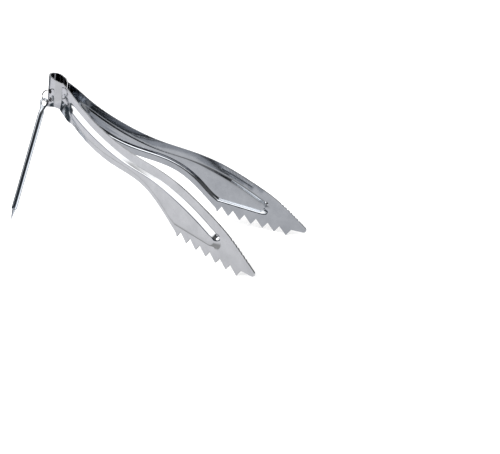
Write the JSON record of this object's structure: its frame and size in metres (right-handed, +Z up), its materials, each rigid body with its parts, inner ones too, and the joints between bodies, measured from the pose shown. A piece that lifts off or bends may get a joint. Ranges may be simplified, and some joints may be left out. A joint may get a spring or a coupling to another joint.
{
  "type": "spring tongs",
  "caption": "Sheet-steel spring tongs with ribbed arms and saw-toothed jaws, and a pointed pick hung on a small ring at the bow.",
  "frame": {"origin": "middle of the footprint, on the ground plane that the last jaw teeth and the pick's point touch", "axes": "+X from the bow towards the jaws, +Y to the left arm, +Z up"},
  "size_m": [0.169, 0.0658, 0.0846],
  "materials": {
    "tongs_steel": "bright plated pressed sheet steel with faint rolling marks",
    "ring_wire": "plated spring wire",
    "pick_steel": "bright plated rod"
  },
  "bodies": {
    "bow": {"bow": "tongs_steel"},
    "left_arm": {"left_arm": "tongs_steel"},
    "right_arm": {"right_arm": "tongs_steel"},
    "ring": {"split_ring": "ring_wire"},
    "pick": {"pick": "pick_steel"}
  },
  "joints": [
    {"name": "left_flex", "type": "hinge", "parent": "bow", "child": "left_arm", "pos_m": [-0.06259, 0.00442, 0.07133], "axis": [0.2615, 0.0348, 0.9646], "range_deg": [-10.2, 2.5], "stiffness_Nm_per_rad": 2.8},
    {"name": "right_flex", "type": "hinge", "parent": "bow", "child": "right_arm", "pos_m": [-0.06259, 0.00042, 0.07133], "axis": [0.2615, -0.0348, 0.9646], "range_deg": [-2.5, 10.2], "stiffness_Nm_per_rad": 2.8},
    {"name": "ring_swing", "type": "hinge", "parent": "bow", "child": "ring", "pos_m": [-0.06966, -0.00168, 0.07197], "axis": [0.0758, 0, 0.9971], "range_deg": [-3, 32]},
    {"name": "pick_swing", "type": "hinge", "parent": "ring", "child": "pick", "pos_m": [-0.07062, -0.006, 0.06936], "axis": [0.0897, 0.776, -0.6243], "range_deg": [-20, 35]}
  ],
  "couplings": [
    {"joint": "right_flex", "follows": "left_flex", "ratio": -1}
  ]
}
